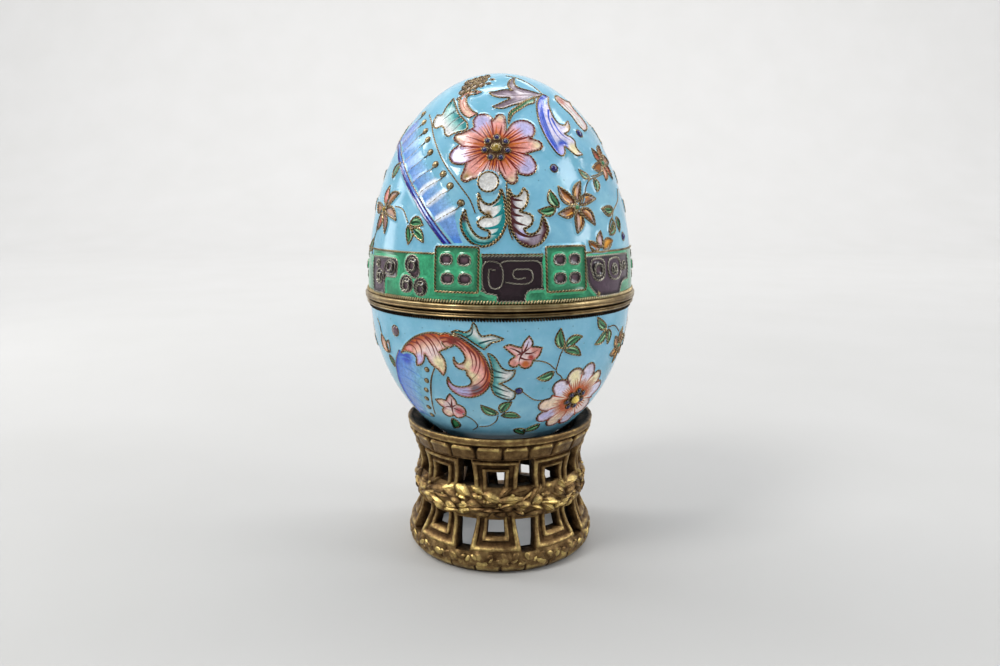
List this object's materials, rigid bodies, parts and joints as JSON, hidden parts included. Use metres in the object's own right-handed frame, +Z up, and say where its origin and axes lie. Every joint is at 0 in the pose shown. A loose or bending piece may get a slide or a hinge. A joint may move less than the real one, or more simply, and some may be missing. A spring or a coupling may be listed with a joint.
{
  "type": "jewelled egg",
  "caption": "Enamelled egg-shaped box in two halves with brass rims, its domed lid lifting off, resting in a pierced cast brass ring stand.",
  "frame": {"origin": "centre of the stand's underside, on the surface it stands on", "axes": "+Z up through the egg's tip, -Y towards the front of the pattern"},
  "size_m": [0.06, 0.06, 0.1054],
  "materials": {
    "enamel": "glossy fired turquoise enamel on copper, patterned in colours between twisted gilt wires",
    "gilt_brass": "satin gilt brass",
    "aged_brass": "cast brass, darkened in its recesses"
  },
  "bodies": {
    "root": {"egg_lid": "enamel", "egg_bowl": "enamel", "lid_rim": "gilt_brass", "bowl_rim": "gilt_brass", "stand": "aged_brass"}
  },
  "joints": []
}
